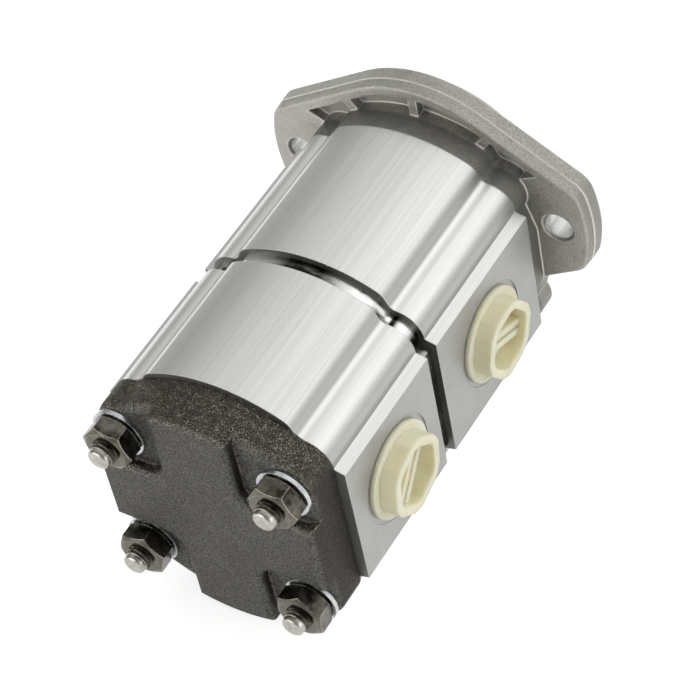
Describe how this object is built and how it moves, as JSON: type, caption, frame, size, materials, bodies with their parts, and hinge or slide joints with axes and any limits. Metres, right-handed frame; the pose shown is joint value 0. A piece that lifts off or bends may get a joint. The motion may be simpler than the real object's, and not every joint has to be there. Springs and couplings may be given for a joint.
{
  "type": "hydraulic gear pump",
  "caption": "Tandem external gear pump: flanged front cover with pilot and keyed shaft, two extruded bodies in line, cast rear cover, tie studs, capped ports.",
  "frame": {"origin": "on the drive shaft's axis, in the flange's mounting face", "axes": "+Y along the drive shaft towards its keyed end, +Z from the driven gears up to the drive gears, +X towards the ports that the picture shows"},
  "size_m": [0.131, 0.2062, 0.1153],
  "materials": {
    "cover_aluminium": "die-cast, grainy",
    "body_aluminium": "extruded, fine lengthwise lines",
    "plate_aluminium": "dark, glossy",
    "cast_iron": "sand-cast, rough",
    "seal_rubber": "matt",
    "spring_steel": "oiled",
    "gear_steel": "ground",
    "stud_steel": "black thread, bright turned tip",
    "nut_steel": "black oxide",
    "washer_steel": "zinc plated",
    "pin_steel": "ground",
    "block_aluminium": "machined",
    "bush_bronze": "plain bearing",
    "backup_nylon": "natural",
    "plug_nylon": "moulded, pale cream"
  },
  "bodies": {
    "housing": {"front_cover": "cover_aluminium", "front_body": "body_aluminium", "rear_body": "body_aluminium", "intermediate_plate": "plate_aluminium", "rear_cover": "cast_iron", "shaft_seal": "seal_rubber", "seal_circlip": "spring_steel", "tie_stud_1": "stud_steel", "stud_nut_1": "nut_steel", "stud_washer_1": "washer_steel", "tie_stud_2": "stud_steel", "stud_nut_2": "nut_steel", "stud_washer_2": "washer_steel", "tie_stud_3": "stud_steel", "stud_nut_3": "nut_steel", "stud_washer_3": "washer_steel", "tie_stud_4": "stud_steel", "stud_nut_4": "nut_steel", "stud_washer_4": "washer_steel", "front_pump_front_block": "block_aluminium", "front_pump_front_block_drive_bush": "bush_bronze", "front_pump_front_block_driven_bush": "bush_bronze", "front_pump_front_block_seal": "seal_rubber", "front_pump_front_block_backup": "backup_nylon", "front_pump_rear_block": "block_aluminium", "front_pump_rear_block_drive_bush": "bush_bronze", "front_pump_rear_block_driven_bush": "bush_bronze", "front_pump_rear_block_seal": "seal_rubber", "front_pump_rear_block_backup": "backup_nylon", "rear_pump_front_block": "block_aluminium", "rear_pump_front_block_drive_bush": "bush_bronze", "rear_pump_front_block_driven_bush": "bush_bronze", "rear_pump_front_block_seal": "seal_rubber", "rear_pump_front_block_backup": "backup_nylon", "rear_pump_rear_block": "block_aluminium", "rear_pump_rear_block_drive_bush": "bush_bronze", "rear_pump_rear_block_driven_bush": "bush_bronze", "rear_pump_rear_block_seal": "seal_rubber", "rear_pump_rear_block_backup": "backup_nylon", "front_body_front_seal": "seal_rubber", "front_body_rear_seal": "seal_rubber", "rear_body_front_seal": "seal_rubber", "rear_body_rear_seal": "seal_rubber", "front_cover_dowels": "pin_steel", "plate_dowels": "pin_steel", "rear_cover_dowels": "pin_steel", "front_right_port_plug": "plug_nylon", "front_left_port_plug": "plug_nylon", "rear_right_port_plug": "plug_nylon", "rear_left_port_plug": "plug_nylon"},
    "drive_train": {"drive_gear_front": "gear_steel", "drive_coupling": "gear_steel", "drive_gear_rear": "gear_steel", "shaft_key": "gear_steel"},
    "driven_front": {"driven_gear_front": "gear_steel"},
    "driven_rear": {"driven_gear_rear": "gear_steel"}
  },
  "joints": [
    {"name": "drive_shaft_turn", "type": "hinge", "parent": "housing", "child": "drive_train", "pos_m": [0, 0, 0], "axis": [0, 1, 0], "continuous": true},
    {"name": "driven_front_turn", "type": "hinge", "parent": "housing", "child": "driven_front", "pos_m": [0, 0, -0.031], "axis": [0, 1, 0], "continuous": true},
    {"name": "driven_rear_turn", "type": "hinge", "parent": "housing", "child": "driven_rear", "pos_m": [0, 0, -0.031], "axis": [0, 1, 0], "continuous": true}
  ],
  "couplings": [
    {"joint": "driven_front_turn", "follows": "drive_shaft_turn", "ratio": -1},
    {"joint": "driven_rear_turn", "follows": "drive_shaft_turn", "ratio": -1}
  ]
}
